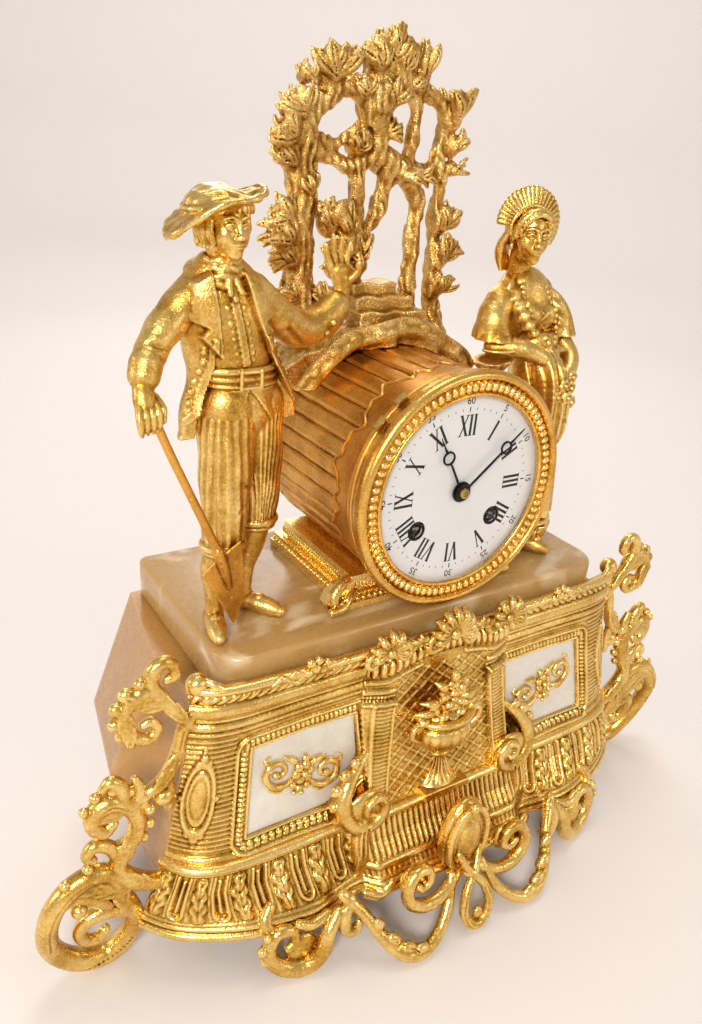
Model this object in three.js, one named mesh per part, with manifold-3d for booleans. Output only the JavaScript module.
// Gilt figural mantel clock: a cast front, alabaster slabs, a drum case with an
// eight-day striking movement, a gardener, a flower gatherer and a tree arbour.
// Millimetres, +Z up, the dial faces -Y.  Origin at the middle of the footprint.
import * as THREE from 'three';
import Module from 'manifold-3d';
import { mergeVertices } from 'three/addons/utils/BufferGeometryUtils.js';

const wasm = await Module();
wasm.setup();

// ---- driving dimensions -------------------------------------------------
const GAP = 0.3; // clearance between pieces that rest on each other
const DEPTH_SHIFT = -22; // puts the middle of the footprint on the origin
const DIAL_Z = 204; // height of the dial centre above the floor
const DIAL_R = 43.4; // enamel disc
const DIAL_T = 1.6;
const BEZEL_IN = 41.7; // what the bezel leaves visible of the dial
const BEZEL_OUT = 52.5;
const DRUM_IN = 45.4;
const DRUM_OUT = 47;
const DRUM_FRONT = 9;
const DRUM_BACK = 82;
const PLINTH_TOP = 162;
const SLAB_TOP = 146.5;
const SLAB_BOTTOM = 128;
const SLAB_HALF = 106;
const SLAB_FRONT = 1.9;
const SLAB_BACK = 101.5;
const SLOT_HALF = 10; // pendulum slot, half width
const SLOT_FRONT = 49.5;
const SLOT_BACK = 64.5;
const FACADE_T = 2.6; // wall of the cast front
const SKIRT_TOP = 56;
const SKIRT_BOTTOM = 22;
const BOARD_BOTTOM = 26;
const BOARD_TOP = 31;
const FLOOR = 0;

// movement: plates, arbors and gears (x, z measured from the dial centre)
const PLATE_R = 40;
const PLATE_T = 2.4;
const FRONT_PLATE_Y = 10;
const BACK_PLATE_Y = 46;
const BARREL = [20.4, -15.2];
const BARREL_PITCH_R = 16;
const BARREL_PINION_R = 2;
const WHEEL_TEETH = 40;
const PINION_LEAVES = 5;
const INTERMEDIATE_R = 13;
const SECOND_WHEEL_R = 11.2;
const CENTRE_WHEEL_R = 13.2;
const THIRD_WHEEL_R = 12.4;
const SLOW_TEETH = 60;
const ESCAPE_R = 7.5;
const ESCAPE_TEETH = 30;
const SUSPENSION_Z = 30; // bending point of the pendulum spring
const PENDULUM_L = 172;
const PENDULUM_Y = 56;
const MESH_GAP = 0.18; // extra centre distance that keeps teeth from rubbing
const MOTION_CENTRES = 11.5;

// ---- materials ----------------------------------------------------------
function finish(color, roughness, metalness) {
  return new THREE.MeshStandardMaterial({ color, roughness, metalness });
}
const GILT = finish(0xc9962f, 0.35, 1);
const GILT_DARK = finish(0x9a6526, 0.5, 1);
const ALABASTER = finish(0xc2ab8c, 0.4, 0);
const ALABASTER_WHITE = finish(0xe6ddcc, 0.35, 0);
const ENAMEL = finish(0xf6f6f2, 0.15, 0);
const BLUED = finish(0x23262f, 0.35, 1);
const BRASS = finish(0xb8923f, 0.3, 1);
const STEEL = finish(0x8d9096, 0.35, 1);
const BELL_METAL = finish(0xa9a48f, 0.3, 1);
const GLASS = finish(0xdfe8ea, 0.05, 0);
const WOOD = finish(0x6b4a2c, 0.7, 0);

// ---- solids -------------------------------------------------------------
function solidOf(geometry) {
  const bare = new THREE.BufferGeometry();
  bare.setAttribute('position', geometry.getAttribute('position'));
  if (geometry.index) {
    bare.setIndex(geometry.index);
  }
  const merged = mergeVertices(bare, 1e-4);
  const index = merged.index.array;
  const kept = [];
  for (let i = 0; i < index.length; i += 3) {
    const [a, b, c] = [index[i], index[i + 1], index[i + 2]];
    if (a !== b && b !== c && c !== a) {
      kept.push(a, b, c);
    }
  }
  return new wasm.Manifold(new wasm.Mesh({
    numProp: 3,
    vertProperties: Float32Array.from(merged.attributes.position.array),
    triVerts: Uint32Array.from(kept),
  }));
}

function union(...parts) {
  return parts.reduce((sum, part) => sum.add(part));
}

function cut(body, ...tools) {
  return tools.reduce((rest, tool) => rest.subtract(tool), body);
}

// A closed body through rings of equally many points, capped at both ends.
function loft(rings) {
  const n = rings[0].length;
  const points = rings.flat();
  const index = [];
  for (let r = 0; r + 1 < rings.length; r += 1) {
    for (let i = 0; i < n; i += 1) {
      const a = r * n + i;
      const b = r * n + ((i + 1) % n);
      index.push(a, b, a + n, b, b + n, a + n);
    }
  }
  const last = (rings.length - 1) * n;
  for (const [start, flip] of [[0, true], [last, false]]) {
    const centre = points.length;
    const mean = new THREE.Vector3();
    for (let i = 0; i < n; i += 1) {
      mean.addScaledVector(points[start + i], 1 / n);
    }
    points.push(mean);
    for (let i = 0; i < n; i += 1) {
      const a = start + i;
      const b = start + ((i + 1) % n);
      index.push(...(flip ? [centre, b, a] : [centre, a, b]));
    }
  }
  const geometry = new THREE.BufferGeometry();
  geometry.setAttribute('position', new THREE.Float32BufferAttribute(points.flatMap((p) => [p.x, p.y,
    p.z]), 3));
  geometry.setIndex(index);
  const body = solidOf(geometry);
  return body.volume() < 0 ? solidOf(flipped(geometry)) : body;
}

function flipped(geometry) {
  const turned = [];
  const index = geometry.index.array;
  for (let i = 0; i < index.length; i += 3) {
    turned.push(index[i], index[i + 2], index[i + 1]);
  }
  geometry.setIndex(turned);
  return geometry;
}

// A body turned about the Y axis through (x, z); profile of [radius, y].
function turned(profile, x = 0, z = DIAL_Z, segments = 36) {
  const closed = profile[0][0] > 0 ? [...profile, profile[0]] : profile;
  const points = closed.map(([r, y]) => new THREE.Vector2(r, y));
  const geometry = new THREE.LatheGeometry(points, segments);
  geometry.translate(x, 0, z);
  return outward(geometry);
}

// A body turned about a vertical axis; profile of [radius, z].
function upright(profile, x, y, segments = 14) {
  const closed = profile[0][0] > 0 ? [...profile, profile[0]] : profile;
  const points = closed.map(([r, z]) => new THREE.Vector2(r, z));
  const geometry = new THREE.LatheGeometry(points, segments);
  geometry.rotateX(Math.PI / 2);
  geometry.translate(x, y, 0);
  return outward(geometry);
}

function outward(geometry) {
  const body = solidOf(geometry);
  return body.volume() < 0 ? solidOf(flipped(geometry)) : body;
}

function disc(r, y0, y1, x = 0, z = DIAL_Z, segments = 28) {
  return turned([[0, y0], [r, y0], [r, y1], [0, y1]], x, z, segments);
}

function box(x0, x1, y0, y1, z0, z1) {
  const geometry = new THREE.BoxGeometry(x1 - x0, y1 - y0, z1 - z0);
  geometry.translate((x0 + x1) / 2, (y0 + y1) / 2, (z0 + z1) / 2);
  return solidOf(geometry);
}

// An outline of [x, z] points given thickness from y0 to y1.
function plate(outline, y0, y1) {
  const shape = new THREE.Shape(outline.map(([x, z]) => new THREE.Vector2(x, z)));
  const geometry = new THREE.ExtrudeGeometry(shape, { depth: y1 - y0, bevelEnabled: false });
  geometry.rotateX(Math.PI / 2);
  geometry.translate(0, y1, 0);
  return outward(geometry);
}

function ball(x, y, z, rx, ry = rx, rz = rx, columns = 8, rows = 5) {
  const geometry = new THREE.SphereGeometry(1, columns, rows);
  geometry.scale(rx, rz, ry);
  geometry.rotateX(Math.PI / 2);
  geometry.translate(x, y, z);
  return solidOf(geometry);
}

// A limb or branch: round sections of [x, y, z, radius, flatness] joined in order.
function limb(stations, sides = 6) {
  const spine = stations.map(([x, y, z]) => new THREE.Vector3(x, y, z));
  const side = new THREE.Vector3(0, 1, 0);
  const rings = stations.map(([, , , radius, flat = 1], i) => {
    const ahead = spine[Math.min(i + 1, spine.length - 1)].clone();
    ahead.sub(spine[Math.max(i - 1, 0)]).normalize();
    const across = new THREE.Vector3().crossVectors(ahead, side);
    if (across.length() < 0.1) {
      across.crossVectors(ahead, new THREE.Vector3(1, 0, 0));
    }
    across.normalize();
    const depth = new THREE.Vector3().crossVectors(across, ahead);
    const ring = [];
    for (let k = 0; k < sides; k += 1) {
      const angle = (2 * Math.PI * k) / sides;
      const point = spine[i].clone();
      point.addScaledVector(across, radius * Math.cos(angle));
      point.addScaledVector(depth, radius * flat * Math.sin(angle));
      ring.push(point);
    }
    return ring;
  });
  return loft(rings);
}

// A scroll or strap: a smooth line of [x, z, half width] with thickness in y.
function ribbon(stations, y0, y1, steps = 2) {
  const line = new THREE.CatmullRomCurve3(stations.map(([x, z, w]) => new THREE.Vector3(x, z, w)));
  const count = (stations.length - 1) * steps;
  const left = [];
  const right = [];
  for (let i = 0; i <= count; i += 1) {
    const here = line.getPoint(i / count);
    const along = line.getTangent(i / count);
    const norm = Math.hypot(along.x, along.y) || 1;
    const nx = (-along.y / norm) * here.z;
    const nz = (along.x / norm) * here.z;
    left.push([here.x + nx, here.y + nz]);
    right.push([here.x - nx, here.y - nz]);
  }
  return plate([...left, ...right.reverse()], y0, y1);
}

function moved(body, x, y, z) {
  return body.translate([x, y, z]);
}

function mirrored(body) {
  return body.mirror([1, 0, 0]);
}

// Leans a body back: y grows by slope for every millimetre above z0.
function leaned(body, slope, z0) {
  return body.transform([1, 0, 0, 0, 0, 1, 0, 0, 0, slope, 1, 0, 0, -slope * z0, 0, 1]);
}

// ---- gears --------------------------------------------------------------
function gearOutline(teeth, pitchR, height, phase) {
  const outline = [];
  for (let i = 0; i < teeth; i += 1) {
    for (const [half, r] of [[0, pitchR + height / 2], [0.5, pitchR - height / 2]]) {
      const angle = phase + (2 * Math.PI * (i + half)) / teeth;
      outline.push([r * Math.cos(angle), r * Math.sin(angle)]);
    }
  }
  return outline;
}

function gear([x, z], teeth, pitchR, y0, y1, phase, height) {
  return moved(plate(gearOutline(teeth, pitchR, height, phase), y0, y1), x, 0, DIAL_Z + z);
}

// Turns a pinion so one of its gaps faces the tooth of the wheel that drives it.
function gapPhase(from, to, wheelTeeth, wheelPhase, leaves) {
  const angle = Math.atan2(to[1] - from[1], to[0] - from[0]);
  const step = (2 * Math.PI) / wheelTeeth;
  const offset = (angle - wheelPhase) / step;
  const lead = (offset - Math.round(offset)) * step;
  return angle + Math.PI + Math.PI / leaves + (lead * wheelTeeth) / leaves;
}

// A wheel with four windows crossed out between rim and hub.
function crossed([x, z], inner, outer, y0, y1, arms = 4) {
  const steps = 1;
  const windows = [];
  for (let i = 0; i < arms; i += 1) {
    const outline = [];
    for (const [r, turns] of [[outer, 1], [inner, -1]]) {
      for (let k = 0; k <= steps; k += 1) {
        const share = turns > 0 ? k / steps : 1 - k / steps;
        const margin = 1.1 / r;
        const sweep = (2 * Math.PI) / arms - 2 * margin;
        const angle = (2 * Math.PI * i) / arms + margin + share * sweep;
        outline.push([x + r * Math.cos(angle), DIAL_Z + z + r * Math.sin(angle)]);
      }
    }
    windows.push(plate(outline, y0 - 1, y1 + 1));
  }
  return windows;
}

function pin([x, z], r, y0, y1, segments = 6) {
  return disc(r, y0, y1, x, DIAL_Z + z, segments);
}

// Where two circles about a and b meet, on the left (+1) or right (-1) of a->b.
function meeting(a, ra, b, rb, side) {
  const dx = b[0] - a[0];
  const dz = b[1] - a[1];
  const gapAB = Math.hypot(dx, dz);
  const along = (ra * ra - rb * rb + gapAB * gapAB) / (2 * gapAB);
  const out = Math.sqrt(ra * ra - along * along) * side;
  return [a[0] + (along * dx - out * dz) / gapAB, a[1] + (along * dz + out * dx) / gapAB];
}

const CENTRE = [0, 0];
const TIME_BARREL = BARREL;
const STRIKE_BARREL = [-BARREL[0], BARREL[1]];
const BARREL_REACH = BARREL_PITCH_R + BARREL_PINION_R + MESH_GAP;
const PINION_SHARE = PINION_LEAVES / WHEEL_TEETH;
const SECOND_PINION_R = SECOND_WHEEL_R * PINION_SHARE;
const CENTRE_PINION_R = INTERMEDIATE_R * PINION_SHARE;
const INTERMEDIATE_REACH = INTERMEDIATE_R + CENTRE_PINION_R + MESH_GAP;
const SECOND_REACH = SECOND_WHEEL_R + SECOND_PINION_R + MESH_GAP;
const CENTRE_REACH = CENTRE_WHEEL_R * (1 + PINION_LEAVES / SLOW_TEETH) + MESH_GAP;
const THIRD_REACH = THIRD_WHEEL_R * (1 + PINION_LEAVES / SLOW_TEETH) + MESH_GAP;
const INTERMEDIATE = meeting(TIME_BARREL, BARREL_REACH, CENTRE, INTERMEDIATE_REACH, -1);
const ESCAPE = [0, SUSPENSION_Z - 1.44 * ESCAPE_R];
const THIRD = meeting(CENTRE, CENTRE_REACH, ESCAPE, THIRD_REACH, 1);
const ANCHOR = [0, SUSPENSION_Z];
const PIN_WHEEL = [STRIKE_BARREL[0] - 5.2, STRIKE_BARREL[1] + Math.sqrt(BARREL_REACH ** 2 - 5.2 ** 2)];
const WARNING = [PIN_WHEEL[0] - 1, PIN_WHEEL[1] + Math.sqrt(SECOND_REACH ** 2 - 1)];
const FLY = [WARNING[0] + Math.sqrt(SECOND_REACH ** 2 - 9.4 ** 2), WARNING[1] + 9.4];
const HAMMER = [-5.2, -33];
const MINUTE_WHEEL = [0, -MOTION_CENTRES];
const REGULATOR = [0, 43.2];
const BELL_R = 30;
const BELL_MOUTH_Y = 62;

// ---- assembly -----------------------------------------------------------
const group = new THREE.Group();
group.name = 'figural_mantel_clock';

function add(name, solid, material) {
  const mesh = solid.getMesh();
  const geometry = new THREE.BufferGeometry();
  geometry.setAttribute('position', new THREE.BufferAttribute(Float32Array.from(mesh.vertProperties), 3));
  geometry.setIndex(new THREE.BufferAttribute(Uint32Array.from(mesh.triVerts), 1));
  geometry.translate(0, DEPTH_SHIFT, 0);
  geometry.computeVertexNormals();
  const node = new THREE.Mesh(geometry, material);
  node.name = name;
  group.add(node);
}

// ---- cast front ---------------------------------------------------------
// Half plans of the front, middle to end, as [x, y] at rising heights.
const FACADE_PLANS = [
  [56.3, [[0, -15], [40, -15], [47, -14], [54, -12], [77, -11], [106, -10.5], [121, -6], [130, 5]]],
  [62, [[0, -13], [38, -13], [45, -12], [52, -10], [76, -8], [105, -8.5], [120, -5], [129, 5]]],
  [84, [[0, -9], [34, -9], [40, -7], [46, -5], [72, -4], [102, -5], [117, -3], [125, 5]]],
  [105, [[0, -6], [32, -6], [36.5, -4], [42, -1.5], [68, -0.5], [99.5, -2], [113, -0.5], [121, 5]]],
  [112, [[0, -6], [31, -6], [36, -4], [41, -1.5], [68, -1], [99, -2], [112, 0], [120, 5.5]]],
  [131, [[0, -4.5], [30, -4.5], [35, -4], [40, -2], [68, -2], [98, -1.5], [111, 1], [118, 6]]],
  [134, [[0, -6], [31, -6], [36, -5.5], [41, -4.5], [68, -4.5], [98, -3], [111, -0.5], [119, 6]]],
  [139, [[0, -6], [31, -6], [36, -5.5], [41, -4.5], [68, -4.5], [98, -3], [111, -0.5], [119, 6]]],
];
const SKIRT_PLANS = [
  [SKIRT_BOTTOM, [[0, -33], [41, -32], [47, -25], [54, -25], [76, -30], [107, -22], [132, -9], [142, 5]]],
  [28, [[0, -32], [41, -31], [47, -24], [54, -24], [76, -29], [107, -21.5], [131, -8.5], [141, 5]]],
  [36, [[0, -26], [41, -26], [48, -20], [55, -19], [78, -23], [109, -18], [130, -8.5], [138, 5]]],
  [44, [[0, -20], [41, -20], [49, -17], [56, -15], [79, -17], [110, -14.5], [127, -8], [134, 5]]],
  [51, [[0, -17], [41, -17], [49, -16], [56, -14], [79, -14], [108, -12.5], [124, -7], [132, 5]]],
  [SKIRT_TOP, [[0, -17.5], [41, -17.5], [49, -16.5], [56, -14.5], [79, -14.5], [108, -13], [124, -7.5],
    [132.5, 5]]],
];

// A wall that follows the plans, with its thickness added towards the inside.
function wall(plans, thickness) {
  const outer = plans.map(([z, half]) => {
    const right = half.map(([x, y]) => new THREE.Vector3(x, y, z));
    const left = half.slice(1).reverse().map(([x, y]) => new THREE.Vector3(-x, y, z));
    return [...left, ...right];
  });
  const rings = outer.map((line) => {
    const inner = line.map((p, i) => {
      const before = line[Math.max(i - 1, 0)];
      const after = line[Math.min(i + 1, line.length - 1)];
      const across = new THREE.Vector3(after.x - before.x, after.y - before.y, 0).normalize();
      return new THREE.Vector3(p.x - across.y * thickness, p.y + across.x * thickness, p.z);
    });
    return [...line, ...inner.reverse()];
  });
  return stackedWall(rings);
}

// Like loft, but the end rings are long and thin, so they are capped by strips.
function stackedWall(rings) {
  const n = rings[0].length;
  const half = n / 2;
  const points = rings.flat();
  const index = [];
  for (let r = 0; r + 1 < rings.length; r += 1) {
    for (let i = 0; i < n; i += 1) {
      const a = r * n + i;
      const b = r * n + ((i + 1) % n);
      index.push(a, b, a + n, b, b + n, a + n);
    }
  }
  const last = (rings.length - 1) * n;
  for (let i = 0; i + 1 < half; i += 1) {
    const [a, b] = [i, i + 1];
    const [c, d] = [n - 2 - i, n - 1 - i];
    index.push(a, c, b, a, d, c);
    index.push(last + a, last + b, last + c, last + a, last + c, last + d);
  }
  const geometry = new THREE.BufferGeometry();
  geometry.setAttribute('position', new THREE.Float32BufferAttribute(points.flatMap((p) => [p.x, p.y,
    p.z]), 3));
  geometry.setIndex(index);
  return outward(geometry);
}

// Depth of the front at a place, read off the plans.
function frontY(plans, x, z) {
  const depths = plans.map(([level, half]) => {
    const i = Math.max(1, half.findIndex(([px]) => px >= Math.abs(x)));
    const [x0, y0] = half[i - 1];
    const [x1, y1] = half[i];
    return [level, y0 + ((y1 - y0) * (Math.abs(x) - x0)) / (x1 - x0)];
  });
  const i = Math.max(1, depths.findIndex(([level]) => level >= z));
  const [z0, d0] = depths[i - 1];
  const [z1, d1] = depths[i];
  return d0 + ((d1 - d0) * (z - z0)) / (z1 - z0);
}

const PANEL_SLOPE = 7 / 43;
const PANEL_TOP = 105;
const PANEL_OPENING = [
  [44, 104.5], [94, 104.5], [99, 64], [60, 64], [56, 66], [53, 70], [51, 75], [46, 79], [43, 84],
];

function grown(outline, by) {
  const cx = 73;
  const cz = 84;
  return outline.map(([x, z]) => {
    const away = Math.hypot(x - cx, z - cz);
    return [x + ((x - cx) / away) * by, z + ((z - cz) / away) * by];
  });
}

function crestShell(x, z, r) {
  const y = frontY(FACADE_PLANS, x, 136) - 1.8;
  const outline = [[x - r * 0.5, z - 3], [x + r * 0.5, z - 3]];
  for (let i = 0; i <= 6; i += 1) {
    const angle = (Math.PI * i) / 6;
    const reach = i % 2 ? r : r * 0.82;
    outline.push([x + reach * Math.cos(angle), z + reach * Math.sin(angle)]);
  }
  return plate(outline, y, y + 2.8);
}

function facade() {
  const opening = plate(PANEL_OPENING, -20, 10);
  const balls = [-116, 116].map((x) => ball(x, 6.6, 139, 4.2, 3.8, 4.2));
  const shells = [[0, 137, 9], [-33, 135, 9], [33, 135, 9], [-69, 134, 6], [69, 134, 6]];
  const crest = shells.map(([x, z, r]) => crestShell(x, z, r));
  const bosses = [-113, 113].map((x) => ball(x, frontY(FACADE_PLANS, x, 98) - 0.5, 98, 4.5, 2.5, 8));
  const body = union(wall(FACADE_PLANS, FACADE_T), ...balls, ...crest, ...bosses);
  return cut(body, opening, mirrored(opening));
}

add('facade_casting', facade(), GILT);

function skirt() {
  const collar = [-46, 46].map((x) => ball(x, frontY(SKIRT_PLANS, x, 48), 46, 7, 4, 8, 7, 4));
  return union(wall(SKIRT_PLANS, FACADE_T), ...collar);
}

add('skirt_moulding', skirt(), GILT);

function inset() {
  const body = plate(grown(PANEL_OPENING, -GAP), -1.5, 1.5);
  return moved(leaned(body, PANEL_SLOPE, PANEL_TOP), 0, 1.2, 0);
}

add('right_alabaster_panel', inset(), ALABASTER_WHITE);
add('left_alabaster_panel', mirrored(inset()), ALABASTER_WHITE);

// Scrolls, leaves and a rosette laid over the alabaster inset.
function panelOrnament() {
  const y0 = -2.6;
  const y1 = -0.6;
  const stem = ribbon([[50, 99, 0.8], [58, 92, 1.4], [66, 88, 1.6], [74, 90, 1.6], [84, 97, 1.3],
    [90, 100, 0.8]], y0, y1, 1);
  const lower = ribbon([[64, 70, 0.8], [70, 75, 1.4], [73, 83, 1.6], [77, 88, 1.5], [85, 84, 1.3],
    [88, 77, 0.8]], y0, y1, 1);
  const curl = ribbon([[67, 88, 1.3], [60, 84, 1.3], [56, 78, 1.1], [60, 74, 1], [64, 77, 0.8]], y0, y1, 1);
  const flowers = [[70, 88, 5], [86, 79, 4.6], [53, 98, 3],
    [88, 99, 3]].map(([x, z, r]) => ball(x, -1.6, z, r, 1.6, r, 6, 4));
  const trimmed = cut(union(stem, lower, curl, ...flowers), box(40, 110, -1 + GAP, 9, 50, 120));
  return leaned(trimmed, PANEL_SLOPE, PANEL_TOP);
}

add('right_panel_ornament', panelOrnament(), GILT);
add('left_panel_ornament', mirrored(panelOrnament()), GILT);

// Urn of flowers on the middle panel.
function urn() {
  const body = upright([
    [0, 58], [10, 58], [10, 61], [4, 65], [12, 74], [14.5, 82], [9, 92], [12.5, 96], [0, 96],
  ], 0, 0, 14);
  const squat = body.scale([1, 0.5, 1]);
  const handles = [-1, 1].map((s) => ribbon([[s * 12, 92, 1], [s * 19, 91, 1.2], [s * 19, 83, 1.2],
    [s * 13, 79, 1]], -2, 2));
  const blooms = [];
  for (let i = 0; i < 6; i += 1) {
    const angle = Math.PI * (0.5 + 0.45 * Math.sin(i * 2.4));
    const reach = 4 + (i % 3) * 5;
    blooms.push(ball(reach * Math.cos(angle), -1.5, 99 + reach * Math.abs(Math.sin(angle)), 6, 4, 6, 7, 5));
  }
  const all = union(squat, ...handles, ...blooms);
  const standing = moved(leaned(all, 0.18, PANEL_TOP), 0, -7.4, 0);
  const behind = moved(leaned(box(-40, 40, 0, 30, 40, 106), 0.19, PANEL_TOP), 0, -6.6, 0);
  return cut(standing, behind, box(-40, 40, -6.5, 30, 104, 140));
}

add('urn_ornament', urn(), GILT);

// ---- alabaster ----------------------------------------------------------
function slabOutline(inset) {
  const w = SLAB_HALF - inset;
  const front = SLAB_FRONT + inset;
  const corner = 15;
  const outline = [];
  for (let k = 0; k <= 4; k += 1) {
    const angle = (Math.PI / 2) * (k / 4);
    outline.push([w - corner + corner * Math.sin(angle), front + corner * (1 - Math.cos(angle))]);
  }
  outline.push([w, SLAB_BACK - inset], [-w, SLAB_BACK - inset]);
  for (let k = 4; k >= 0; k -= 1) {
    const angle = (Math.PI / 2) * (k / 4);
    outline.push([-w + corner - corner * Math.sin(angle), front + corner * (1 - Math.cos(angle))]);
  }
  return outline;
}

function topSlab() {
  const levels = [[SLAB_BOTTOM, 0], [SLAB_TOP - 4, 0], [SLAB_TOP - 1.2, 1], [SLAB_TOP, 4]];
  const rings = levels.map(([z, inset]) => slabOutline(inset).map(([x, y]) => new THREE.Vector3(x, y, z)));
  return cut(loft(rings), box(-SLOT_HALF, SLOT_HALF, SLOT_FRONT, SLOT_BACK, SLAB_BOTTOM - 1, SLAB_TOP + 1));
}

add('alabaster_top_slab', topSlab(), ALABASTER);

// Side slab: section [half width, z] at the front, the belly and the back.
const SIDE_T = 10;
const SIDE_SECTION = [
  [26, 127, 127, 125], [44, 127, 133, 131], [62, 125, 138, 134], [78, 122, 139, 134],
  [94, 119, 135, 130], [110, 116.5, 127, 123], [120, 115, 120.5, 117], [127.5, 114, 117, 113],
];

function sideSlab() {
  const depths = [9.6, 22, 40, 60, 82, SLAB_BACK];
  const blend = [0, 0.5, 0.9, 1, 0.75, 0];
  const rings = depths.map((y, i) => {
    const outer = SIDE_SECTION.map(([z, front, belly, back]) => {
      const end = i < 3 ? front : back;
      return new THREE.Vector3(end + (belly - end) * blend[i], y, z);
    });
    const inner = outer.map((p) => new THREE.Vector3(p.x - SIDE_T, p.y, p.z)).reverse();
    return [...outer, ...inner];
  });
  return loft(rings);
}

add('right_alabaster_side', sideSlab(), ALABASTER);
add('left_alabaster_side', mirrored(sideSlab()), ALABASTER);

// ---- inner carcass ------------------------------------------------------
add('back_board', box(-103, 103, 93, 99, BOARD_TOP + GAP, SLAB_BOTTOM - GAP), WOOD);
add('bottom_board', box(-114, 114, 8, 99, BOARD_BOTTOM, BOARD_TOP), WOOD);

// ---- scroll brackets and feet -------------------------------------------
// All scrolls are described on the right-hand side and mirrored.
function bracket() {
  const y0 = 0;
  const y1 = 9;
  const head = ribbon([[122.6, 141, 1.2], [126, 138, 1.8], [131, 142, 2.4], [133, 149, 2.8],
    [129, 155, 2.6], [123, 153, 2.2], [122, 147, 1.8]], y0, y1);
  const body = ribbon([[124, 130, 3], [131, 134, 4.5], [137, 138, 5], [143, 136, 4.5], [145, 130, 4],
    [141, 123, 3.4], [135, 122, 2.6], [133, 127, 2]], y0, y1);
  const strap = ribbon([[124.5, 128, 3], [123.5, 116, 2.6], [126, 104, 2.8], [131, 95, 3.2],
    [137, 89, 2.8], [134, 84, 2]], y0 + 1, y1);
  const knob = ball(131, 3, 91, 4, 5, 4);
  return union(head, body, strap, knob, limb([[124.4, 3, 131, 4], [130, 3, 136, 4.5]]));
}

add('right_scroll_bracket', bracket(), GILT);
add('left_scroll_bracket', mirrored(bracket()), GILT);

function scrollFoot() {
  const y0 = 1;
  const y1 = 12;
  const hook = ribbon([[146, 68, 3.2], [142, 76, 3.2], [143, 87, 3.4], [149, 97, 3.4], [156, 96, 2.8],
    [158, 89, 2.2], [154, 85, 1.8]], y0, y1 - 3);
  const leaf = limb([[146, 4, 96, 3.6], [148, 4, 104, 3.4], [149, 4, 112, 1]]);
  const shoulder = ribbon([[140, 48.5, 4.6], [144, 52.5, 5.4], [150, 57, 5], [162, 59, 4.6],
    [173, 53, 4.8], [178.5, 42, 4.6], [177.5, 28, 5], [169, 15, 5.5], [157, 9.5, 5.5],
    [147.5, 15, 4.6], [145.5, 27, 4], [151, 36, 3.6], [160, 37.5, 3.2], [165, 31, 2.8], [163, 24, 2.6],
    [157, 24, 2.4]], y0, y1, 1);
  const neck = ribbon([[148, 56, 5.5], [148, 63, 4.4], [146, 70, 3.6]], y0, y1 - 2);
  const sprig = limb([[157, 6, 45, 3], [163, 5, 52, 3.4], [168, 5, 55, 1.6]], 6);
  const pearl = ball(167, 3, 47, 4);
  const standing = union(hook, leaf, shoulder, neck, sprig, pearl);
  const splayed = standing.transform([1, 0, 0, 0, 0, 1, 0, 0, 0, -0.14, 1, 0, 0, 0.14 * 60, -4, 1]);
  return cut(splayed, box(120, 190, -40, 60, -20, FLOOR));
}

add('right_scroll_foot', scrollFoot(), GILT);
add('left_scroll_foot', mirrored(scrollFoot()), GILT);

// Boss, hanging loop, volutes, ribbon swags and the small front feet in one.
function apron() {
  const boss = ball(0, -34, 43, 12.5, 7, 20, 10, 6);
  const mount = box(-16, 16, -36, -32 + 6, 26, 48);
  const loopBody = limb([
    [6, -40, 36, 2.6], [-2, -45, 30, 2.6], [-7, -50, 20, 2.8], [-6, -53, 9, 3], [0, -54, 4, 3.4],
    [6, -53, 9, 3], [7, -50, 20, 2.8], [2, -45, 30, 2.6], [-6, -40, 36, 2.6],
  ], 5);
  const half = [
    limb([[4, -38, 34, 3], [14, -42, 26, 3.2], [24, -44, 22, 3.4], [34, -42, 29, 3.1],
      [29, -39, 40, 2.6], [20, -40, 33, 2]], 5),
    limb([[10, -40, 26, 2.6], [15, -48, 14, 2.8], [24, -53, 6, 3], [35, -54, 3.4, 3.2],
      [45, -50, 8, 3], [52, -43, 20, 2.8], [64, -31, 36, 2.6]], 5),
    limb([[60, -33, 31, 2.6], [70, -35, 22, 3.2], [76, -35, 10, 3.4], [85, -33, 4, 3.9],
      [96, -30, 9, 3.4], [99, -28, 22, 3], [91, -28, 30, 2.4], [87, -29, 24, 2]], 5),
    limb([[96, -26, 27, 3.4], [94, -22, 34, 3.4]]),
    limb([[62, -30, 34, 3.2], [62, -24, 38, 3.2]]),
  ];
  const right = union(...half);
  const all = union(boss, mount, loopBody, right, mirrored(right));
  const clear = moved(wall(SKIRT_PLANS, 34), 0, -GAP, 0);
  return cut(all, clear, box(-150, 150, -80, 20, -20, FLOOR));
}

add('front_apron', apron(), GILT);

function rearFoot() {
  return upright([
    [0, FLOOR], [11, FLOOR], [13, 3], [13, 6], [8, 10], [9, 17], [13, 21], [13, BOARD_BOTTOM - GAP],
      [0, BOARD_BOTTOM - GAP],
  ], 98, 84);
}

add('right_rear_foot', rearFoot(), GILT_DARK);
add('left_rear_foot', mirrored(rearFoot()), GILT_DARK);

// ---- drum plinth and drum case ------------------------------------------
const BORE = disc(DRUM_OUT + 0.5, 9, 100, 0, DIAL_Z, 30);
const PENDULUM_SLOT = box(-SLOT_HALF, SLOT_HALF, SLOT_FRONT, SLOT_BACK, SLAB_TOP - 1, DIAL_Z - 30);

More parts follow.
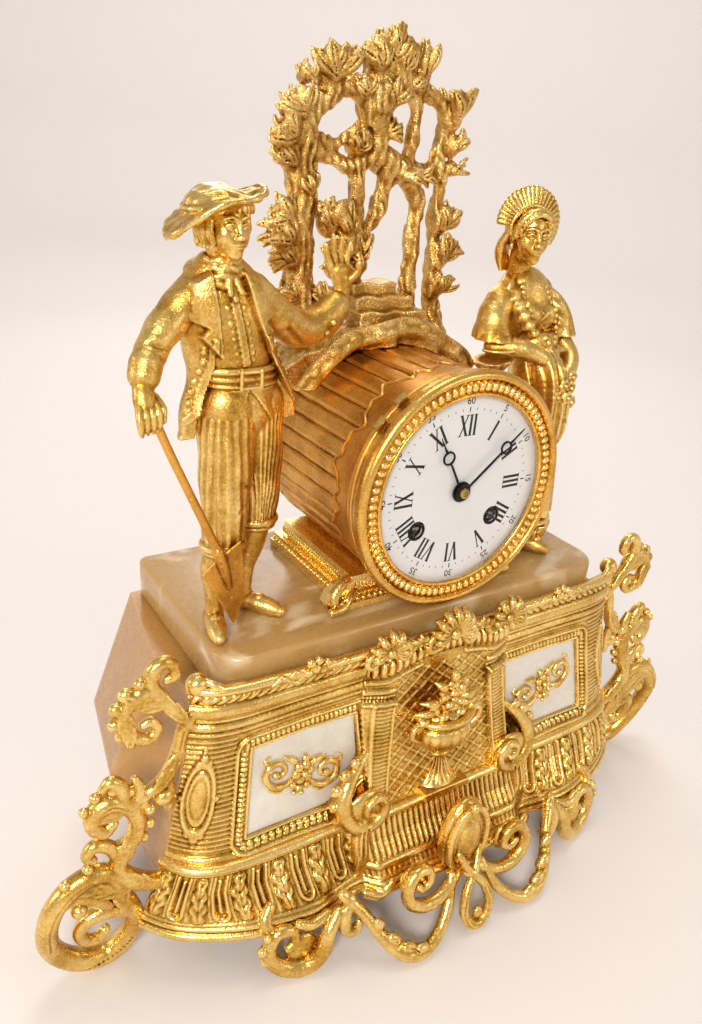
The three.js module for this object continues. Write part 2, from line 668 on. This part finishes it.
function drumPlinth() {
  const steps = [[SLAB_TOP + GAP, 150, 42, 16], [150, 153, 40, 18], [153, 158.5, 36, 20],
    [158.5, PLINTH_TOP, 38, 18.5]];
  const tiers = steps.map(([z0, z1, w, front]) => box(-w, w, front, z1 > 155 ? 81.5 : 88, z0, z1 + 0.01));
  const scroll = ribbon([[37, 158, 2], [44, 156, 2.6], [48, 151, 2.6], [45, 147.5, 2.2],
    [39, 148.5, 1.8]], 18, 24);
  const body = union(...tiers, scroll, mirrored(scroll));
  const rest = cut(body, BORE, PENDULUM_SLOT, box(-60, 60, 0, 100, 140, SLAB_TOP + GAP));
  return rest;
}

add('drum_plinth', drumPlinth(), GILT);

function drumCase() {
  const tube = turned([
    [DRUM_IN, 5.6], [50, 5.6], [50.4, DRUM_FRONT], [DRUM_OUT, DRUM_FRONT + 0.4], [DRUM_OUT, DRUM_BACK],
      [DRUM_IN, DRUM_BACK],
  ], 0, DIAL_Z, 32);
  return cut(tube, PENDULUM_SLOT);
}

add('drum_case', drumCase(), GILT_DARK);

// ---- dial, bezel and hands ----------------------------------------------
function dialRing() {
  const ring = turned([
    [39, 1.9], [43.7, 1.9], [43.7, 0.4], [44.9, 0.4], [44.9, 2.6], [50.4, 2.6], [50.4, 5.3], [39, 5.3],
  ], 0, DIAL_Z, 32);
  const lugs = hingeBarrels([[-9, -3.4], [3.4, 9]], 5.6, 2.7, 4);
  return cut(union(ring, ...lugs), regulatorHole(1.3));
}

// The bezel hinge lies upper left, square to the radius through the catch.
const HINGE_R = 54.6;
const HINGE_Y = 1.8;
const DIAGONAL = Math.SQRT1_2;

function regulatorHole(r) {
  return pin(REGULATOR, r, -8, 8, 10);
}

// Barrels on the hinge line, each with a leaf that reaches in towards the dial.
function hingeBarrels(spans, reach, y0, y1) {
  const cx = -HINGE_R * DIAGONAL;
  const cz = DIAL_Z + HINGE_R * DIAGONAL;
  return spans.map(([from, to]) => {
    const barrel = limb([
      [cx + from * DIAGONAL, HINGE_Y, cz + from * DIAGONAL, 1.4],
      [cx + to * DIAGONAL, HINGE_Y, cz + to * DIAGONAL, 1.4],
    ], 8);
    const leaf = plate([[from, -reach], [to, -reach], [to, 0], [from, 0]], y0, y1).rotate([0, -45, 0]);
    return union(barrel, moved(leaf, cx, 0, cz));
  });
}

add('dial_ring', dialRing(), BRASS);

function bezel() {
  const ring = turned([
    [BEZEL_IN, -0.6], [BEZEL_IN, -2.6], [45.2, -4.6], [49.8, -4.6], [BEZEL_OUT, -1], [BEZEL_OUT, 2.3],
    [45.3, 2.3], [45.3, -0.2],
  ], 0, DIAL_Z, 32);
  const tab = plate([[52, -2.2], [56.5, -2.2], [57.5, 0], [56.5, 2.2], [52, 2.2]],
    -1, 1.2).rotate([0, 45, 0]);
  const knuckle = hingeBarrels([[-3.1, 3.1]], 3.4, -0.4, 1.4);
  return cut(union(ring, moved(tab, 0, 0, DIAL_Z), ...knuckle), regulatorHole(1.9));
}

add('bezel', bezel(), GILT);

function bezelGlass() {
  const dome = [[41.3, -2.4], [39.6, -4.5], [28, -7.2], [0, -8.8]];
  const inside = dome.map(([r, y]) => [r, y + 0.9]).reverse();
  return turned([...inside, ...dome], 0, DIAL_Z, 24);
}

add('bezel_glass', bezelGlass(), GLASS);

function dialDisc() {
  const holes = [TIME_BARREL, STRIKE_BARREL].map((at) => pin(at, 3.7, -1, 3, 12));
  return cut(disc(DIAL_R, 0, DIAL_T, 0, DIAL_Z, 40), pin(CENTRE, 3, -1, 3, 12), regulatorHole(1.3),
    ...holes);
}

add('dial', dialDisc(), ENAMEL);

// A hand drawn pointing up, then turned clockwise by its angle in degrees.
function hand(length, ringAt, ringR, hubR, bore, y0, y1, degrees) {
  const outline = [[-1.1, 0], [-0.7, ringAt], [-0.7, length - 4], [0, length], [0.7, length - 4],
    [0.7, ringAt], [1.1, 0]];
  const stem = plate(outline, y0, y1);
  const tail = plate([[-1.1, 0], [1.1, 0], [0.6, -9], [-0.6, -9]], y0, y1);
  const ring = disc(ringR, y0, y1, 0, ringAt, 12);
  const moon = disc(ringR - 1.3, y0 - 1, y1 + 1, 0.3, ringAt, 10);
  const hub = disc(hubR, y0, y1, 0, 0, 12);
  const body = cut(union(stem, tail, hub, ring), moon, disc(bore, y0 - 1, y1 + 1, 0, 0, 12));
  return moved(body.rotate([0, degrees, 0]), 0, 0, DIAL_Z);
}

const MINUTE_DEGREES = 50;
const HOUR_DEGREES = -29;
add('minute_hand', hand(39, 27, 3.4, 3.2, 2, -3, -2.3, MINUTE_DEGREES), BLUED);
add('hour_hand', hand(29, 18.5, 3.6, 4.2, 2.8, -1.8, -1.1, HOUR_DEGREES), BLUED);
add('hand_collet', turned([[1.15, -3.3], [2.4, -3.3], [2.2, -4.2], [1.15, -4.4]], 0, DIAL_Z, 10), BRASS);

// ---- motion work behind the dial ----------------------------------------
const CANNON_R = MOTION_CENTRES / 4 - 0.02;
const MINUTE_R = 3 * CANNON_R;
const SLEEVE_R = MOTION_CENTRES / 5 - 0.02;
const HOUR_R = 4 * SLEEVE_R;

function motionCentre([x, z]) {
  return [x, z - MESH_GAP];
}

function cannonPinion() {
  const tube = turned([[1.2, 9.4], [1.65, 9.4], [1.65, -3.1], [1.2, -3.1]], 0, DIAL_Z, 10);
  return union(tube, cut(gear(CENTRE, 9, CANNON_R, 7.6, 9.2, -Math.PI / 2, 1.2),
    pin(CENTRE, 1.4, 7, 10, 10)));
}

add('cannon_pinion', cannonPinion(), STEEL);

function minuteWheel() {
  const at = motionCentre(MINUTE_WHEEL);
  const wheel = gear(at, 27, MINUTE_R, 7.8, 9, Math.PI / 2 + Math.PI / 27, 1.2);
  const pinion = gear(at, 8, SLEEVE_R, 4.6, 7.9, Math.PI / 2, 1.2);
  return cut(union(wheel, pinion), pin(at, 0.9, 3, 10));
}

add('minute_wheel', minuteWheel(), BRASS);

function hourWheel() {
  const wheel = gear(CENTRE, 32, HOUR_R, 5.2, 6.6, -Math.PI / 2 + Math.PI / 32, 1.2);
  const pipe = turned([[1.95, 6.7], [2.5, 6.7], [2.5, -2], [1.95, -2]], 0, DIAL_Z, 10);
  return union(cut(wheel, pin(CENTRE, 2.2, 4, 8, 10)), pipe);
}

add('hour_wheel', hourWheel(), BRASS);

// ---- movement plates ----------------------------------------------------
const PILLARS = [[14, 34.5], [-14, 34.5], [13.5, -35], [-13.5, -35]];
const PIVOTS = [INTERMEDIATE, THIRD, ESCAPE, PIN_WHEEL, WARNING, FLY];

function frontPlate() {
  const body = disc(PLATE_R, FRONT_PLATE_Y, FRONT_PLATE_Y + PLATE_T, 0, DIAL_Z, 26);
  const small = [...PIVOTS, HAMMER, ANCHOR].map((at) => pin(at, 1.1, 8, 14));
  const wide = [CENTRE, TIME_BARREL, STRIKE_BARREL].map((at) => pin(at, 2.7, 8, 14, 8));
  const ends = PILLARS.map((at) => pin(at, 2, 8, 14));
  const post = pin(motionCentre(MINUTE_WHEEL), 0.6, 4.8, FRONT_PLATE_Y + 1);
  return union(cut(body, ...small, ...wide, ...ends), post);
}

add('front_plate', frontPlate(), BRASS);

function backPlate() {
  const body = disc(PLATE_R, BACK_PLATE_Y, BACK_PLATE_Y + PLATE_T, 0, DIAL_Z, 26);
  const pillars = PILLARS.map((at) => union(
    pin(at, 1.6, FRONT_PLATE_Y - 0.8, FRONT_PLATE_Y + PLATE_T + 1),
    pin(at, 2.8, FRONT_PLATE_Y + PLATE_T + GAP, BACK_PLATE_Y + 0.2, 8),
  ));
  const small = PIVOTS.map((at) => pin(at, 1.1, 44, 50));
  const wide = [CENTRE, TIME_BARREL, STRIKE_BARREL, HAMMER].map((at) => pin(at, 1.8, 44, 50, 8));
  wide.push(pin(ANCHOR, 3.4, 44, 50, 10));
  return cut(union(body, ...pillars), ...small, ...wide);
}

add('back_plate', backPlate(), BRASS);

// ---- going train --------------------------------------------------------
function barrel(at, phase) {
  const drum = disc(14.6, 15, 31.2, at[0], DIAL_Z + at[1], 18);
  const wheel = gear(at, WHEEL_TEETH, BARREL_PITCH_R, 31, 33.4, phase, 1.3);
  return cut(union(drum, wheel), pin(at, 2.6, 14, 36, 8));
}

function windingArbor(at) {
  const square = box(at[0] - 1.5, at[0] + 1.5, 0.8, FRONT_PLATE_Y - 1, DIAL_Z + at[1] - 1.5,
    DIAL_Z + at[1] + 1.5);
  const shaft = turned([
    [0, FRONT_PLATE_Y - 1.2], [2.1, FRONT_PLATE_Y - 1.2], [2.1, 34.5], [1.3, 34.5], [1.3, 49.4], [0, 49.4],
  ], at[0], DIAL_Z + at[1], 8);
  return union(square, shaft);
}

const TIME_PHASE = 0;
add('time_barrel', barrel(TIME_BARREL, TIME_PHASE), BRASS);
add('time_winding_arbor', windingArbor(TIME_BARREL), STEEL);

function arbor(at) {
  return pin(at, 0.7, FRONT_PLATE_Y - 0.2, BACK_PLATE_Y + PLATE_T + 0.2);
}

// An arbor with its pinion and crossed wheel; phases keep the teeth in step.
function trainWheel(at, pinion, wheel) {
  const leaves = gear(at, pinion.leaves, pinion.r, pinion.y0, pinion.y1, pinion.phase, pinion.h);
  const rim = gear(at, wheel.teeth, wheel.r, wheel.y0, wheel.y1, wheel.phase, wheel.h);
  const windows = crossed(at, wheel.r * 0.32, wheel.r * 0.8, wheel.y0, wheel.y1);
  return union(arbor(at), leaves, cut(rim, ...windows));
}

const INTERMEDIATE_PHASE = Math.atan2(-INTERMEDIATE[1], -INTERMEDIATE[0]);
add('intermediate_wheel', trainWheel(
  INTERMEDIATE,
  { leaves: PINION_LEAVES, r: BARREL_PINION_R, y0: 30.4, y1: 34, h: 1.2, phase: gapPhase(TIME_BARREL,
    INTERMEDIATE, WHEEL_TEETH, TIME_PHASE, PINION_LEAVES) },
  { teeth: WHEEL_TEETH, r: INTERMEDIATE_R, y0: 37.5, y1: 39, h: 1, phase: INTERMEDIATE_PHASE },
), BRASS);

function centreWheel() {
  const pinionPhase = gapPhase(INTERMEDIATE, CENTRE, WHEEL_TEETH, INTERMEDIATE_PHASE, PINION_LEAVES);
  const shaft = turned([
    [0, -4.3], [0.85, -4.3], [0.85, 48.8], [0, 48.8],
  ], 0, DIAL_Z, 8);
  const leaves = gear(CENTRE, PINION_LEAVES, CENTRE_PINION_R, 36.5, 40, pinionPhase, 0.9);
  const rim = gear(CENTRE, SLOW_TEETH, CENTRE_WHEEL_R, 42, 43.5, 0, 0.8);
  return union(shaft, leaves, cut(rim, ...crossed(CENTRE, 4, 10.4, 42, 43.5)));
}

add('centre_wheel', centreWheel(), BRASS);

const THIRD_WHEEL_PHASE = 0;
add('third_wheel', trainWheel(
  THIRD,
  { leaves: PINION_LEAVES, r: CENTRE_WHEEL_R / 12, y0: 41.4, y1: 44.2, h: 0.75, phase: gapPhase(CENTRE,
    THIRD, SLOW_TEETH, 0, PINION_LEAVES) },
  { teeth: SLOW_TEETH, r: THIRD_WHEEL_R, y0: 34.4, y1: 35.6, h: 0.7, phase: THIRD_WHEEL_PHASE },
), BRASS);

function escapeWheel() {
  const phase = gapPhase(THIRD, ESCAPE, SLOW_TEETH, THIRD_WHEEL_PHASE, PINION_LEAVES);
  const leaves = gear(ESCAPE, PINION_LEAVES, THIRD_WHEEL_R / 12, 33.4, 36.8, phase, 0.65);
  const outline = [];
  for (let i = 0; i < ESCAPE_TEETH; i += 1) {
    const step = (2 * Math.PI) / ESCAPE_TEETH;
    outline.push([ESCAPE_R * Math.cos(i * step), ESCAPE_R * Math.sin(i * step)]);
    outline.push([(ESCAPE_R - 1.1) * Math.cos((i + 0.35) * step),
      (ESCAPE_R - 1.1) * Math.sin((i + 0.35) * step)]);
  }
  const rim = moved(plate(outline, 40.4, 41.6), ESCAPE[0], 0, DIAL_Z + ESCAPE[1]);
  return union(arbor(ESCAPE), leaves, cut(rim, ...crossed(ESCAPE, 2.4, 5.4, 40.4, 41.6)));
}

add('escape_wheel', escapeWheel(), BRASS);

// Anchor, its arbor and the crutch that reaches back to the pendulum rod.
function anchor() {
  const z = DIAL_Z + SUSPENSION_Z;
  const shaft = pin(ANCHOR, 0.8, FRONT_PLATE_Y - 0.2, 52);
  const arms = plate([
    [-1.4, z + 1.6], [1.4, z + 1.6], [6.6, z - 1.4], [7.8, z - 6], [6.6, z - 6], [5.4, z - 2.2],
    [0, z - 1.6], [-5.4, z - 2.2], [-6.6, z - 6], [-7.8, z - 6], [-6.6, z - 1.4],
  ], 40.4, 41.6);
  const crutch = limb([[0, 51.4, z, 0.9], [0, 51.4, z - 38, 0.7]], 6);
  const fork = cut(box(-2.2, 2.2, 50.6, 58, z - 40, z - 37.5), box(-1.1, 1.1, 53.4, 60, z - 45, z - 30));
  return union(shaft, arms, crutch, fork);
}

add('anchor', anchor(), STEEL);

// ---- pendulum -----------------------------------------------------------
function suspensionCock() {
  const z = DIAL_Z + SUSPENSION_Z;
  const foot = box(-9, 9, BACK_PLATE_Y + PLATE_T + GAP, 50.4, z + 1.6, z + 6);
  const arm = box(-4, 4, 50, 58.6, z + 2.4, z + 6);
  const jaws = box(-2.2, 2.2, 53.6, 58.4, z + 0.8, z + 2.6);
  return cut(union(foot, arm, jaws), box(-0.6, 0.6, 52, 60, z - 1, z + 4));
}

add('suspension_cock', suspensionCock(), BRASS);

function pendulum() {
  const z = DIAL_Z + SUSPENSION_Z;
  const spring = box(-0.3, 0.3, 54.4, 57.6, z - 8, z + 3.4);
  const chops = box(-1.6, 1.6, 54.2, 57.8, z - 14, z - 7);
  const rod = limb([[0, PENDULUM_Y, z - 13, 0.75], [0, PENDULUM_Y, z - PENDULUM_L - 20, 0.75]], 8);
  const bob = turned([[0, PENDULUM_Y - 4], [9, PENDULUM_Y - 3.4], [16, PENDULUM_Y],
    [9, PENDULUM_Y + 3.4], [0, PENDULUM_Y + 4]], 0, z - PENDULUM_L, 20);
  const nut = upright([[0, z - PENDULUM_L - 21], [2.6, z - PENDULUM_L - 21],
    [2.6, z - PENDULUM_L - 18], [0, z - PENDULUM_L - 18]], 0, PENDULUM_Y, 8);
  return union(spring, chops, rod, bob, nut);
}

add('pendulum', pendulum(), BRASS);

function regulatorArbor() {
  const z = DIAL_Z + REGULATOR[1];
  const shaft = pin(REGULATOR, 0.8, 1.4, 57, 8);
  const square = box(-0.7, 0.7, 0.3, 2, z - 0.7, z + 0.7);
  return union(shaft, square, pin(REGULATOR, 1.7, 55, 57, 10));
}

add('regulator_arbor', regulatorArbor(), STEEL);

// ---- striking train -----------------------------------------------------
const STRIKE_PHASE = 0;
add('strike_barrel', barrel(STRIKE_BARREL, STRIKE_PHASE), BRASS);
add('strike_winding_arbor', windingArbor(STRIKE_BARREL), STEEL);

function countWheel() {
  const [x, z] = STRIKE_BARREL;
  const body = disc(11, 50, 51.4, x, DIAL_Z + z, 24);
  const notches = [];
  let blows = 0;
  for (let hour = 1; hour <= 12; hour += 1) {
    blows += hour + 1;
    const angle = (2 * Math.PI * blows) / 90;
    const notch = box(-0.6, 0.6, 49, 53, 9.4, 12).rotate([0, (angle * 180) / Math.PI, 0]);
    notches.push(moved(notch, x, 0, DIAL_Z + z));
  }
  return cut(body, ...notches, pin(STRIKE_BARREL, 1.6, 49, 53, 12));
}

add('count_wheel', countWheel(), BRASS);

const PIN_PHASE = Math.atan2(WARNING[1] - PIN_WHEEL[1], WARNING[0] - PIN_WHEEL[0]);
function pinWheel() {
  const wheel = trainWheel(
    PIN_WHEEL,
    { leaves: PINION_LEAVES, r: BARREL_PINION_R, y0: 30.4, y1: 34, h: 1.2,
      phase: gapPhase(STRIKE_BARREL, PIN_WHEEL, WHEEL_TEETH, STRIKE_PHASE, PINION_LEAVES) },
    { teeth: WHEEL_TEETH, r: SECOND_WHEEL_R, y0: 37.5, y1: 39, h: 0.9, phase: PIN_PHASE },
  );
  const pins = [];
  for (let i = 0; i < 10; i += 1) {
    const angle = (2 * Math.PI * i) / 10;
    pins.push(pin([PIN_WHEEL[0] + 9.6 * Math.cos(angle), PIN_WHEEL[1] + 9.6 * Math.sin(angle)],
      0.5, 36, 38, 4));
  }
  return union(wheel, ...pins);
}

add('pin_wheel', pinWheel(), BRASS);

const WARNING_PHASE = Math.atan2(FLY[1] - WARNING[1], FLY[0] - WARNING[0]);
add('warning_wheel', trainWheel(
  WARNING,
  { leaves: PINION_LEAVES, r: SECOND_PINION_R, y0: 36.8, y1: 40, h: 0.85, phase: gapPhase(PIN_WHEEL,
    WARNING, WHEEL_TEETH, PIN_PHASE, PINION_LEAVES) },
  { teeth: WHEEL_TEETH, r: SECOND_WHEEL_R, y0: 27.5, y1: 28.9, h: 0.9, phase: WARNING_PHASE },
), BRASS);

function fly() {
  const phase = gapPhase(WARNING, FLY, WHEEL_TEETH, WARNING_PHASE, PINION_LEAVES);
  const leaves = gear(FLY, PINION_LEAVES, SECOND_PINION_R, 26.8, 30, phase, 0.85);
  const blade = box(FLY[0] - 5, FLY[0] + 5, 14.4, 18.6, DIAL_Z + FLY[1] - 0.4, DIAL_Z + FLY[1] + 0.4);
  return union(arbor(FLY), leaves, blade);
}

add('fly', fly(), BRASS);

function hammer() {
  const [x, z] = [HAMMER[0], DIAL_Z + HAMMER[1]];
  const shaft = pin(HAMMER, 0.9, FRONT_PLATE_Y - 0.2, 66);
  const arm = limb([[x, 64.4, z, 1.2], [x - 14.8, 64.4, z + 4, 0.9], [x - 28.2, 64.4, z + 21, 0.9]], 5);
  const head = turned([[0, 60], [3, 60], [3, 68], [0, 68]], x - 29.2, z + 22.6, 10);
  const tail = limb([[x, 24, z, 0.9], [x - 0.8, 24, z + 7, 0.6]], 5);
  return union(shaft, arm, head, tail);
}

add('hammer', hammer(), STEEL);

function bell() {
  const thickness = 1.4;
  const outer = [];
  const inner = [];
  for (let i = 0; i <= 4; i += 1) {
    const angle = (Math.PI / 2) * (i / 4);
    outer.push([BELL_R * Math.cos(angle), BELL_MOUTH_Y + 13.5 * Math.sin(angle)]);
    inner.push([(BELL_R - thickness) * Math.cos(angle),
      BELL_MOUTH_Y + (13.5 - thickness) * Math.sin(angle)]);
  }
  outer[4][0] = 2;
  inner[4][0] = 2;
  return turned([...outer, ...inner.reverse()], 0, DIAL_Z, 20);
}

add('bell', bell(), BELL_METAL);

function bellStand() {
  const foot = box(14, 22, BACK_PLATE_Y + PLATE_T + GAP, 50.6, DIAL_Z - 34, DIAL_Z - 26);
  const post = limb([[18, 50, DIAL_Z - 30, 1.5], [18, 57, DIAL_Z - 29, 1.5],
    [12, 59.5, DIAL_Z - 18, 1.4], [4, 60, DIAL_Z - 3, 1.4], [0, 61, DIAL_Z, 1.5], [0, 79, DIAL_Z, 1.5]]);
  return union(foot, post, disc(4, 76.1, 78, 0, DIAL_Z, 10));
}

add('bell_stand', bellStand(), STEEL);

// ---- back of the drum ---------------------------------------------------
function rearRing() {
  const ring = turned([[43.4, DRUM_BACK + GAP], [48.4, DRUM_BACK + GAP], [48.4, 86], [43.4, 86]],
    0, DIAL_Z, 26);
  const knuckles = [[-12, -6.3], [6.3, 12]].map(([a, b]) => limb([[-50, 86.4, DIAL_Z + a, 1.5],
    [-50, 86.4, DIAL_Z + b, 1.5]], 8));
  const leaves = [[-12, -6.3], [6.3, 12]].map(([a, b]) => box(-50, -46.4, 84, 85.9, DIAL_Z + a,
    DIAL_Z + b));
  return union(ring, ...knuckles, ...leaves);
}

add('rear_ring', rearRing(), BRASS);

function backDoor() {
  const lid = turned([[0, 86.4], [46.6, 86.4], [46.6, 87.8], [40, 89.2], [0, 89.2]], 0, DIAL_Z, 26);
  const knuckle = limb([[-50, 86.4, DIAL_Z - 6, 1.5], [-50, 86.4, DIAL_Z + 6, 1.5]], 8);
  const leaf = box(-50, -45.6, 86.5, 87.8, DIAL_Z - 6, DIAL_Z + 6);
  return union(lid, knuckle, leaf);
}

add('back_door', backDoor(), BRASS);

// Two long straps tie the dial ring to the rear ring through the drum.
function strap() {
  return box(42.2, 43, 5.6, 85.8, DIAL_Z - 2.5, DIAL_Z + 2.5);
}

add('right_case_strap', strap(), STEEL);
add('left_case_strap', mirrored(strap()), STEEL);

// ---- figures ------------------------------------------------------------
const FOOTING = SLAB_TOP + GAP;

// A low oval ground plate under a figure.
function ground(cx, cy, rx, ry) {
  const ring = (z, share) => {
    const points = [];
    for (let i = 0; i < 14; i += 1) {
      const angle = (2 * Math.PI * i) / 14;
      points.push(new THREE.Vector3(cx + share * rx * Math.cos(angle),
        cy + share * ry * Math.sin(angle), z));
    }
    return points;
  };
  return loft([ring(FOOTING, 1), ring(FOOTING + 2.2, 0.9)]);
}

function spadeShaft(extra) {
  return limb([[-121, 18, 240, 1.7 + extra], [-108, 17.2, 200, 1.7 + extra],
    [-97, 16.5, 174, 1.8 + extra]]);
}

function spade() {
  const grip = limb([[-124, 14, 239.4, 1.9], [-118.6, 21.6, 240, 1.9]]);
  const blade = plate([[-104, 176], [-90, 184], [-86, 172], [-90, 158], [-95, 149.8], [-101, 158]],
    15.6, 17.6);
  return union(spadeShaft(0), grip, blade);
}

function gardener() {
  const head = ball(-94, 30, 300.5, 8.6, 9.6, 11.5, 8, 6);
  const hair = ball(-96, 33, 302, 10, 10, 10.5, 7, 5);
  const brim = moved(ball(0, 0, 0, 18.5, 17, 2.4, 10, 4).rotate([8, -10, 0]), -95, 32, 309);
  const crown = moved(ball(0, 0, 0, 11.5, 11, 8, 7, 4), -96.5, 33, 311);
  const neck = limb([[-94, 33, 281, 5.5], [-94, 32, 293, 5]]);
  const torso = limb([[-85, 34, 252, 12.5, 0.75], [-90, 34, 272, 15.5, 0.68], [-94, 34, 283, 13, 0.65],
    [-94, 33, 288, 6, 1]], 8);
  const coat = limb([[-84, 36, 228, 25, 0.62], [-84, 36, 240, 20.5, 0.62], [-87, 36, 258, 15.5, 0.68]], 10);
  const rightArm = limb([[-106, 34, 281, 6.5], [-114, 33, 266, 6.6], [-118, 28, 255, 5.6],
    [-121, 25, 247, 4.4]], 5);
  const rightHand = ball(-121, 23.4, 244.5, 4.6, 5, 4.4, 7, 5);
  const leftArm = limb([[-80, 35, 281, 6.5], [-68, 38, 271, 6.6], [-57, 42, 267, 6.4],
    [-48, 48, 274, 5], [-46, 51, 281, 3.4]], 5);
  const leftHand = limb([[-46, 51, 280, 3.6], [-47, 53, 288, 3.8], [-50, 54, 298, 1.4]], 5);
  const legs = [
    limb([[-92, 33, 232, 9.5], [-94, 28, 190, 8], [-96, 27, 176, 6.8], [-98, 27, 158, 4.6],
      [-98, 27, 150, 4.6]]),
    limb([[-78, 36, 232, 9.5], [-75, 38, 190, 7.6], [-76, 39, 178, 6.6], [-79, 38, 160, 4.4],
      [-79, 37, 150, 4.4]]),
  ];
  const shoes = [
    limb([[-97, 32, 151, 4.8, 0.9], [-100, 22, 150.5, 4.9, 0.8], [-103, 14, 149.4, 3, 0.8]], 5),
    limb([[-81, 40, 151, 4.8, 0.9], [-76, 32, 150.5, 4.9, 0.8], [-71, 25, 149.4, 3, 0.8]], 5),
  ];
  const standing = union(
    head, hair, brim, crown, neck, torso, coat, rightArm, rightHand, leftArm, leftHand, ...legs, ...shoes,
    ground(-88, 30, 22, 18),
  );
  const grips = union(spadeShaft(0.5), limb([[-126, 12.6, 239.4, 2.7], [-116.6, 23.6, 240.2, 2.7]]));
  return cut(standing, grips, box(-150, 0, -20, 100, 100, FOOTING));
}

function flowerGatherer() {
  const gown = limb([[84, 40, FOOTING + 12, 21, 0.8], [83, 43, 220, 18, 0.75],
    [81, 48, 250, 12.5, 0.75]], 10);
  const bodice = limb([[81, 48, 246, 12, 0.75], [75, 53, 270, 16.5, 0.72], [73, 55, 278, 12, 0.7],
    [72, 55, 284, 6, 0.9]], 8);
  const neck = limb([[72, 55, 280, 5], [72, 55, 290, 4.6]]);
  const head = ball(71, 53, 297.5, 8.4, 9.2, 11, 8, 6);
  const fan = moved(ball(0, 0, 0, 14.5, 4.5, 15, 10, 4).rotate([-14, 0, 0]), 70, 59, 305);
  const hair = ball(70, 58, 299, 10, 8.5, 11, 7, 4);
  const veil = limb([[61, 60, 296, 4.2], [58, 62, 286, 5.4], [60, 62, 274, 4]], 5);
  const sleeves = [
    limb([[60, 54, 274, 7.5], [52, 52, 263, 8.6], [49, 47, 252, 9.4]]),
    limb([[87, 53, 272, 7], [97, 50, 262, 7.6], [101, 47, 252, 7.4]]),
  ];
  const arms = [
    limb([[51, 46, 253, 5], [66, 38, 250, 4.6], [84, 33, 246, 3.8], [92, 32, 241, 2.4]]),
    limb([[101, 46, 254, 4.6], [100, 38, 244, 4.2], [93, 33, 238, 3.4]]),
  ];
  const apronBag = limb([[86, 34, 246, 7], [95, 33, 236, 9], [98, 34, 220, 9.6], [100, 35, 206, 7.6],
    [100, 36, 199, 3]]);
  const blooms = [[93, 28, 240], [98, 28, 233]].map(([x, y, z]) => ball(x, y, z, 4.4, 4.2, 4.4, 6, 4));
  const shoe = limb([[80, 36, 168, 5], [80, 35, 154, 4.8], [88, 26, 151, 4.8, 0.8],
    [94, 20, 149, 2.6, 0.8]], 5);
  const standing = union(
    gown, bodice, neck, head, fan, hair, veil, ...sleeves, ...arms, apronBag, ...blooms, shoe,
      ground(84, 36, 21, 17),
  );
  const drumSpace = union(
    disc(DRUM_OUT + 0.6, 8, 95, 0, DIAL_Z, 30),
    disc(51.2, 4, 10, 0, DIAL_Z, 30),
    disc(50, 81, 95, 0, DIAL_Z, 30),
  );
  return cut(standing, drumSpace, box(0, 150, -20, 110, 100, FOOTING));
}

add('figure_gardener', gardener(), GILT);
add('spade', spade(), GILT_DARK);
add('figure_flower_gatherer', flowerGatherer(), GILT);

// ---- tree arbour --------------------------------------------------------
function arbour() {
  const trunks = [
    limb([[-34, 74, 240, 6], [-35, 77, 275, 4.4], [-38, 79, 320, 3.6], [-30, 80, 347, 3]], 5),
    limb([[40, 74, 238, 6], [45, 77, 275, 4.4], [43, 79, 320, 3.6], [34, 80, 347, 3]], 5),
    limb([[-6, 74, 250, 5], [-4, 78, 300, 3.4], [0, 80, 362, 2.4]], 5),
    limb([[24, 74, 250, 4.4], [20, 79, 300, 2.8], [12, 80, 352, 2.2]], 5),
  ];
  const crown = [
    [-29, 344, 15], [-12, 358, 14], [8, 362, 15], [30, 348, 15], [43, 326, 12], [-40, 318, 12],
    [-40, 288, 11], [46, 292, 11], [-13, 330, 11], [-10, 300, 10], [22, 308, 11],
  ];
  const leaves = crown.map(([x, z, r], i) => {
    const geometry = new THREE.DodecahedronGeometry(r * 1.08, 0);
    geometry.rotateZ(i);
    geometry.scale(1, 0.6, 1);
    geometry.translate(x, 79 + (i % 3) * 1.5 - 1.5, z);
    return outward(geometry);
  });
  const rock = turned([[DRUM_OUT - 1, 52], [53, 50], [56, 58], [57, 74], [53, 81.5],
    [DRUM_OUT - 1, 81.5]], 0, DIAL_Z, 22);
  const mound = cut(rock, box(-70, 70, 40, 100, 100, DIAL_Z + 27));
  return cut(union(...trunks, ...leaves, mound), disc(DRUM_OUT + 0.5, 0, 95, 0, DIAL_Z, 30));
}

add('tree_arbour', arbour(), GILT);

// Moves everything so the middle of the footprint sits on the origin.
function recentre() {
  const bounds = new THREE.Box3().setFromObject(group);
  const middle = bounds.getCenter(new THREE.Vector3());
  for (const node of group.children) {
    node.geometry.translate(-middle.x, -middle.y, -bounds.min.z);
  }
}

recentre();

export default group;
